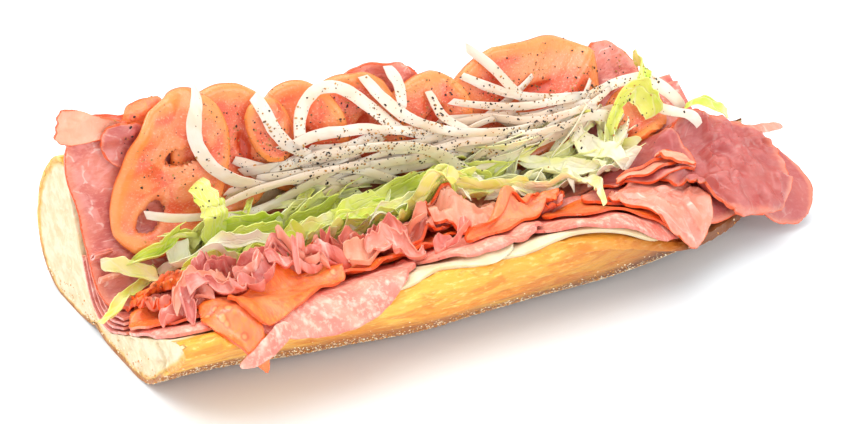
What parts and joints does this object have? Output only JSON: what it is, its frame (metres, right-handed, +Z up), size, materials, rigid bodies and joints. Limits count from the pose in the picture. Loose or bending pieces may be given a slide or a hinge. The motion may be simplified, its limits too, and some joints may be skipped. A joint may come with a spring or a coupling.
{
  "type": "opened Italian hoagie",
  "caption": "Opened hoagie roll cut across at one end, its V filled with cheese, cured meats, ham, tomato, lettuce and onion.",
  "frame": {"origin": "on the flat underside of the roll, below the middle of its front half", "axes": "+X along the roll from the cut end to the closed end, +Y from the front half towards the upright back half, +Z up"},
  "size_m": [0.3109, 0.1319, 0.0962],
  "materials": {
    "bread_crust": "thin golden crust, browner at the foot and the ends, over an open creamy crumb at the cut end and the inner faces",
    "provolone": "smooth creamy slice, slightly translucent",
    "salami": "pink cured meat with white specks of fat, moist",
    "hot_capicola": "cured meat with an orange-red spiced edge and round flecks of fat, moist",
    "ham": "pink cooked ham with paler streaks and a thin orange-red edge, moist",
    "tomato": "wet orange-red flesh with a smoother, lighter rim",
    "lettuce": "crisp translucent yellow-green leaf, near white at the ribs",
    "onion": "wet translucent white"
  },
  "bodies": {
    "root": {"bread": "bread_crust", "capicola_back": "hot_capicola", "capicola_band": "hot_capicola", "capicola_drape": "hot_capicola", "capicola_fold": "hot_capicola", "capicola_left": "hot_capicola", "capicola_right": "hot_capicola", "cheese_left": "provolone", "cheese_middle": "provolone", "cheese_right": "provolone", "ham_back_left": "ham", "ham_back_middle": "ham", "ham_back_right": "ham", "ham_end": "ham", "ham_folded": "ham", "ham_front_left": "ham", "ham_front_middle": "ham", "ham_front_right": "ham", "ham_right": "ham", "ham_tip": "ham", "lettuce": "lettuce", "onion": "onion", "salami_front": "salami", "salami_left": "salami", "salami_middle": "salami", "salami_right": "salami", "tomato_1": "tomato", "tomato_2": "tomato", "tomato_3": "tomato", "tomato_4": "tomato", "tomato_5": "tomato", "tomato_6": "tomato", "tomato_7": "tomato", "tomato_8": "tomato"}
  },
  "joints": []
}
